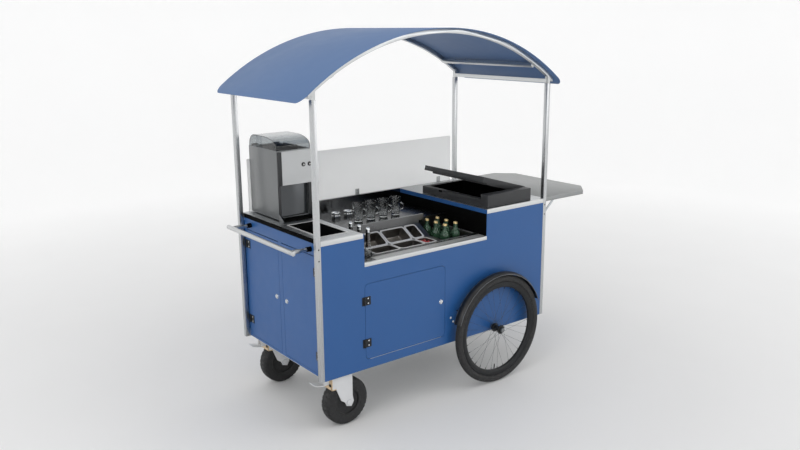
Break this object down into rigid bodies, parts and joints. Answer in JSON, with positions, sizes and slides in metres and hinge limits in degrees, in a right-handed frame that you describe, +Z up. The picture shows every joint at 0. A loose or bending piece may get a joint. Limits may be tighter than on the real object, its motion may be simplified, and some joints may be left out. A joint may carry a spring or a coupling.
{
  "type": "cocktail pushcart",
  "caption": "Panelled street bar on bicycle wheels and braked casters, with arched canopy, sunken garnish station, ice box, ice crusher, hinged doors, push bar and drop shelf.",
  "frame": {"origin": "on the floor under the middle of the whole cart's box", "axes": "+X from the push bar to the wheel end, +Y from the serving side to the guests' side, +Z up"},
  "size_m": [2.1925, 1.023, 2.0498],
  "materials": {
    "post_aluminium": "satin",
    "blue_paint": "satin powder coat",
    "canopy_blue": "satin powder coat",
    "inner_steel": "plain",
    "counter_steel": "brushed",
    "black_plastic": "satin",
    "box_plastic": "matte",
    "clear_glass": "clear",
    "green_glass": "clear",
    "frosted_board": "frosted",
    "gold_caps": "polished",
    "dark_hardware": "satin",
    "zinc": "zinc plated",
    "lock_chrome": "polished",
    "tyre": "matte",
    "caster_rubber": "matte",
    "rim_black": "gloss",
    "spoke_black": "satin",
    "fork_white": "satin",
    "button_dark": "gloss"
  },
  "bodies": {
    "cart": {"corner_posts": "post_aluminium", "frame_rails": "post_aluminium", "cabinet_floor": "inner_steel", "front_panel": "blue_paint", "back_panel": "blue_paint", "left_end_panel": "blue_paint", "right_end_panel": "blue_paint", "black_trim": "black_plastic", "left_counter": "counter_steel", "right_counter": "counter_steel", "counter_trims": "post_aluminium", "waste_bin": "black_plastic", "work_well": "counter_steel", "garnish_station": "counter_steel", "steel_ware": "counter_steel", "glassware": "clear_glass", "bottles": "green_glass", "bottle_caps": "gold_caps", "fixed_hardware": "dark_hardware", "push_handle": "post_aluminium", "backboard": "frosted_board", "board_brackets": "zinc", "canopy_sheet": "canopy_blue", "canopy_frame": "post_aluminium", "wheel_axle": "dark_hardware", "mudguards": "black_plastic", "caster_plates": "zinc", "icebox_body": "box_plastic", "crusher_body": "counter_steel", "crusher_cover": "counter_steel"},
    "front_wheel": {"front_wheel_tyre": "tyre", "front_wheel_rim": "rim_black", "front_wheel_spokes": "spoke_black"},
    "front_caster": {"front_caster_fork": "fork_white"},
    "front_caster_wheel": {"front_caster_wheel": "caster_rubber"},
    "front_caster_brake": {"front_caster_brake": "zinc"},
    "back_wheel": {"back_wheel_tyre": "tyre", "back_wheel_rim": "rim_black", "back_wheel_spokes": "spoke_black"},
    "back_caster": {"back_caster_fork": "fork_white"},
    "back_caster_wheel": {"back_caster_wheel": "caster_rubber"},
    "back_caster_brake": {"back_caster_brake": "zinc"},
    "front_door": {"front_door": "blue_paint", "front_door_leaves": "dark_hardware"},
    "front_door_lock": {"front_door_lock": "lock_chrome"},
    "end_door_front": {"end_door_front": "blue_paint", "end_door_front_leaves": "dark_hardware"},
    "end_door_front_lock": {"end_door_front_lock": "lock_chrome"},
    "end_door_back": {"end_door_back": "blue_paint", "end_door_back_leaves": "dark_hardware"},
    "end_door_back_lock": {"end_door_back_lock": "lock_chrome"},
    "side_shelf": {"side_shelf": "counter_steel"},
    "shelf_stay_lower": {"shelf_stay_lower": "zinc"},
    "shelf_stay_upper": {"shelf_stay_upper": "zinc"},
    "icebox_lid": {"icebox_lid": "box_plastic"},
    "crusher_lid": {"crusher_lid": "clear_glass"},
    "crusher_drum": {"crusher_drum": "dark_hardware"},
    "crusher_button_left": {"crusher_button_left": "button_dark"},
    "crusher_button_right": {"crusher_button_right": "button_dark"},
    "ice_drawer": {"ice_drawer": "counter_steel"}
  },
  "joints": [
    {"name": "front_wheel_spin", "type": "hinge", "parent": "cart", "child": "front_wheel", "pos_m": [0.19718, -0.468, 0.3265], "axis": [0, 1, 0], "continuous": true},
    {"name": "front_caster_swivel", "type": "hinge", "parent": "cart", "child": "front_caster", "pos_m": [-0.86175, -0.339, 0.281], "axis": [0, 0, 1], "continuous": true},
    {"name": "front_caster_spin", "type": "hinge", "parent": "front_caster", "child": "front_caster_wheel", "pos_m": [-0.80675, -0.339, 0.13], "axis": [0, 1, 0], "continuous": true},
    {"name": "front_caster_brake_press", "type": "hinge", "parent": "front_caster", "child": "front_caster_brake", "pos_m": [-0.93975, -0.339, 0.255], "axis": [0, -1, 0], "range_deg": [0, 18]},
    {"name": "back_wheel_spin", "type": "hinge", "parent": "cart", "child": "back_wheel", "pos_m": [0.19718, 0.468, 0.3265], "axis": [0, 1, 0], "continuous": true},
    {"name": "back_caster_swivel", "type": "hinge", "parent": "cart", "child": "back_caster", "pos_m": [-0.86175, 0.339, 0.281], "axis": [0, 0, 1], "continuous": true},
    {"name": "back_caster_spin", "type": "hinge", "parent": "back_caster", "child": "back_caster_wheel", "pos_m": [-0.80675, 0.339, 0.13], "axis": [0, 1, 0], "continuous": true},
    {"name": "back_caster_brake_press", "type": "hinge", "parent": "back_caster", "child": "back_caster_brake", "pos_m": [-0.93975, 0.339, 0.255], "axis": [0, -1, 0], "range_deg": [0, 18]},
    {"name": "front_door_hinge", "type": "hinge", "parent": "cart", "child": "front_door", "pos_m": [-0.7208, -0.4218, 0.565], "axis": [0, 0, -1], "range_deg": [0, 110]},
    {"name": "front_door_lock_turn", "type": "hinge", "parent": "front_door", "child": "front_door_lock", "pos_m": [-0.19983, -0.4175, 0.565], "axis": [0, 1, 0], "range_deg": [0, 90]},
    {"name": "end_door_front_hinge", "type": "hinge", "parent": "cart", "child": "end_door_front", "pos_m": [-0.97405, -0.376, 0.645], "axis": [0, 0, 1], "range_deg": [0, 105]},
    {"name": "end_door_front_lock_turn", "type": "hinge", "parent": "end_door_front", "child": "end_door_front_lock", "pos_m": [-0.96975, -0.053, 0.6385], "axis": [-1, 0, 0], "range_deg": [0, 90]},
    {"name": "end_door_back_hinge", "type": "hinge", "parent": "cart", "child": "end_door_back", "pos_m": [-0.97405, 0.376, 0.645], "axis": [0, 0, -1], "range_deg": [0, 105]},
    {"name": "end_door_back_lock_turn", "type": "hinge", "parent": "end_door_back", "child": "end_door_back_lock", "pos_m": [-0.96975, 0.053, 0.6385], "axis": [1, 0, 0], "range_deg": [0, 90]},
    {"name": "side_shelf_fold", "type": "hinge", "parent": "cart", "child": "side_shelf", "pos_m": [0.63725, 0, 1.013], "axis": [0, 1, 0], "range_deg": [0, 90]},
    {"name": "shelf_stay_lower_turn", "type": "hinge", "parent": "cart", "child": "shelf_stay_lower", "pos_m": [0.62925, 0, 0.773], "axis": [0, -1, 0], "range_deg": [0, 47.01]},
    {"name": "shelf_stay_upper_turn", "type": "hinge", "parent": "side_shelf", "child": "shelf_stay_upper", "pos_m": [0.87725, 0, 1.005], "axis": [0, 1, 0], "range_deg": [0, 43.19]},
    {"name": "icebox_lid_hinge", "type": "hinge", "parent": "cart", "child": "icebox_lid", "pos_m": [0.51363, -0.081, 1.085], "axis": [0, 1, 0], "range_deg": [-16, 79]},
    {"name": "crusher_lid_hinge", "type": "hinge", "parent": "cart", "child": "crusher_lid", "pos_m": [-0.81275, 0.3927, 1.4263], "axis": [-1, 0, 0], "range_deg": [0, 100]},
    {"name": "crusher_drum_spin", "type": "hinge", "parent": "cart", "child": "crusher_drum", "pos_m": [-0.76277, 0.241, 1.396], "axis": [0, 1, 0], "continuous": true},
    {"name": "crusher_button_left_press", "type": "slide", "parent": "cart", "child": "crusher_button_left", "axis": [0, 1, 0], "range_m": [0, 0.0025], "stiffness_N_per_m": 600},
    {"name": "crusher_button_right_press", "type": "slide", "parent": "cart", "child": "crusher_button_right", "axis": [0, 1, 0], "range_m": [0, 0.0025], "stiffness_N_per_m": 600},
    {"name": "ice_drawer_slide", "type": "slide", "parent": "cart", "child": "ice_drawer", "axis": [0, -1, 0], "range_m": [0, 0.1]}
  ],
  "couplings": [
    {"joint": "shelf_stay_lower_turn", "follows": "side_shelf_fold", "ratio": 0.52121},
    {"joint": "shelf_stay_upper_turn", "follows": "side_shelf_fold", "ratio": 0.47879}
  ]
}
